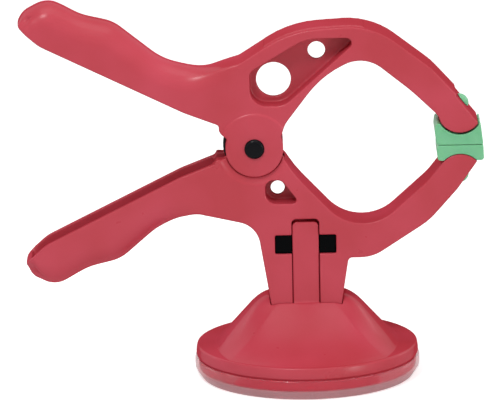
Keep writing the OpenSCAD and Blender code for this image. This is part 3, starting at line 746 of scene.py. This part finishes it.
def make_base(mat):
    """The dome: one swept shell over a round flange and skirt, with the socket for the neck and
    the two tongues that stand in its slots."""
    obj = dome_shell(mat)
    disc = lathe([(0, FLANGE_TOP + 0.3), (FLANGE_R - 1.5, FLANGE_TOP + 0.3)]
                 + arc(FLANGE_R - 0.8, FLANGE_TOP - 0.2, EDGE_R, 90, 15, 5)
                 + [(FLANGE_R - 0.1, FLANGE_TOP - 1.4), (FLANGE_R, FLANGE_TOP - 2.2)]
                 + arc(FLANGE_R - EDGE_R, FLANGE_FOOT + EDGE_R, EDGE_R, 0, -90, 5)
                 + [(SKIRT_R + 0.1, FLANGE_FOOT)]
                 + arc(SKIRT_R - EDGE_R, SKIRT_FOOT + EDGE_R, EDGE_R, 0, -90, 4)
                 + [(0, SKIRT_FOOT)], 160)
    carve(obj, "disc", disc, mat, "UNION")
    hollow = lathe([(0, SKIRT_FOOT - 1), (SKIRT_R - BASE_WALL, SKIRT_FOOT - 1),
                    (SKIRT_R - BASE_WALL, FLANGE_Z - 1), (DOME_SIDE - BASE_WALL, FLANGE_TOP - 0.6),
                    (22 - BASE_WALL / 2, FLANGE_TOP + 0.23 * (DOME_TOP - FLANGE_TOP)),
                    (BOSS_R + 4, DOME_WEB - 1), (BOSS_R + 3, DOME_WEB), (0, DOME_WEB)], 120)
    carve(obj, "hollow", hollow, mat, "DIFFERENCE")
    half, up, deep = NECK_FOOT_W / 2 + SEAT_FIT, SOCKET_D + SEAT_FIT + 1, ARM_W / 2 + SEAT_FIT
    foot, mouth = NECK_FOOT - SEAT_FIT, NECK_FOOT - SEAT_FIT + up
    socket = plate([(-half, foot), (-half - up * NECK_TAPER, mouth),
                    (half + up * NECK_TAPER, mouth), (half, foot)], -deep, deep)
    carve(obj, "socket", socket, mat, "DIFFERENCE")
    wide, r, top = SLOT_W / 2 - TONGUE_GAP + TONGUE_EASE, TONGUE_R, SLOT_TOP - 1.3
    low = [(-wide, DOME_WEB + 0.5), (wide, DOME_WEB + 0.5)]
    blade = low + arc(wide - r, top - r, r, 0, 90, 6) + arc(r - wide, top - r, r, 90, 180, 6)
    root = low + [(wide, DOME_TOP - 2.1), (-wide, DOME_TOP - 2.1)]
    back = ARM_W / 2 - SLOT_D + SEAT_FIT
    for side in (-1, 1):
        for name, shape, out in (("tongue", blade, ARM_W / 2 - TONGUE_SET),
                                 ("tongue_root", root, ARM_W / 2 + 0.25)):
            carve(obj, name, plate(shape, *sorted((side * out, side * back))), mat, "UNION")
    bore = lathe([(0, 15), (STUD_R + 0.1, 15), (STUD_R + 0.1, DOME_TOP), (0, DOME_TOP)], 48)
    carve(obj, "bore", bore, mat, "DIFFERENCE")
    mould(obj, mat, DOME_SKIN)
    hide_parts("base_dome")
    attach(obj, "base")


def make_cup(clear, zinc):
    """The clear cup with its lip round the skirt, the stud moulded into it and its washer."""
    boss = DOME_WEB - WASHER_T - SEAT_FIT
    profile = ([(0, CUP_HOLLOW), (6, CUP_HOLLOW - 0.05), (CUP_R * 0.3, CUP_HOLLOW - 0.4),
                (20, 4.2), (CUP_R * 0.65, CUP_HOLLOW * 0.5), (31, 1.3), (CUP_R - 5.8, 0.4),
                (CUP_R - 5, 0)]
               + arc(CUP_R - 2.6, 0.6, 0.6, -90, -30, 4)
               + [(CUP_R - 0.9, 2.1), (CUP_R - 0.15, 3.3), (CUP_R, LIP_H - 1.4)]
               + arc(CUP_R - LIP_T / 2, LIP_H + LIP_RISE - LIP_T / 2, LIP_T / 2, 0, 180, 8)
               + [(CUP_R - LIP_T, RIM_T + 0.3), (CUP_R - LIP_T - 0.3, RIM_T), (CUP_R - 5.4, RIM_T),
                  (CUP_R * 0.72, RIM_T + 2.4), (BOSS_R + 1.5, CUP_HOLLOW + 3.6),
                  (BOSS_R, CUP_HOLLOW + 5.4), (BOSS_R, boss - 0.4), (BOSS_R - 0.4, boss),
                  (STUD_R, boss), (STUD_R, HEAD_Z + HEAD_T), (STUD_HEAD_R, HEAD_Z + HEAD_T),
                  (STUD_HEAD_R, HEAD_Z), (0, HEAD_Z)])
    cup = turned("cup", profile, clear, (0, 0, 0), (0, 0, 1), 144, 35)
    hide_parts("suction_cup")
    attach(cup, "base")
    tip = KEY_Z + KEY_H - 0.6
    thread = [(STUD_R - 0.12 * (k % 2), 24 + 0.4 * k) for k in range(60)]
    stud = ([(0, HEAD_Z), (STUD_HEAD_R - 0.3, HEAD_Z), (STUD_HEAD_R, HEAD_Z + 0.3),
             (STUD_HEAD_R, HEAD_Z + HEAD_T - 0.3), (STUD_HEAD_R - 0.3, HEAD_Z + HEAD_T),
             (STUD_R, HEAD_Z + HEAD_T)] + thread
            + [(STUD_R, tip - 0.7), (STUD_R - 0.6, tip), (0, tip)])
    bolt = turned("stud", stud, zinc, (0, 0, 0), (0, 0, 1), 48, 30)
    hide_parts("cup_stud")
    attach(bolt, "base")
    r, low = BOSS_R - 1, DOME_WEB - WASHER_T
    ring = [(STUD_R + 0.1, low), (r - 0.2, low), (r, low + 0.2), (r, DOME_WEB - 0.2),
            (r - 0.2, DOME_WEB), (STUD_R + 0.1, DOME_WEB), (STUD_R + 0.1, low)]
    washer = turned("washer", ring, zinc, (0, 0, 0), (0, 0, 1), 64, 30)
    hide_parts("stud_washer")
    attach(washer, "base")


def shape_key(obj):
    """The bar fills its windows from end to end."""
    for v in obj.data.vertices:
        more = KEY_FILL * smooth_step(abs(v.co.x) / (KEY_HALF * MM))
        v.co.x += math.copysign(more, v.co.x) * MM


def make_pieces():
    """Every piece, in its material."""
    red = glass_filled_nylon()
    make_arms(red, soft_elastomer())
    make_spring(black_oxide("oiled_spring_wire", 0.35))
    make_pin(black_oxide("black_oxide_steel", 0.18))
    make_base(red)
    make_cup(clear_pvc(), zinc_plate())
    key = moulded("lock_key", "key_bar", black_acetal(), KEY_SKIN, shape_key)
    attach(key, "base")


make_camera()
make_floor()
make_world()
make_lamps()
make_pieces()

bpy.context.scene.view_settings.view_transform = "Standard"
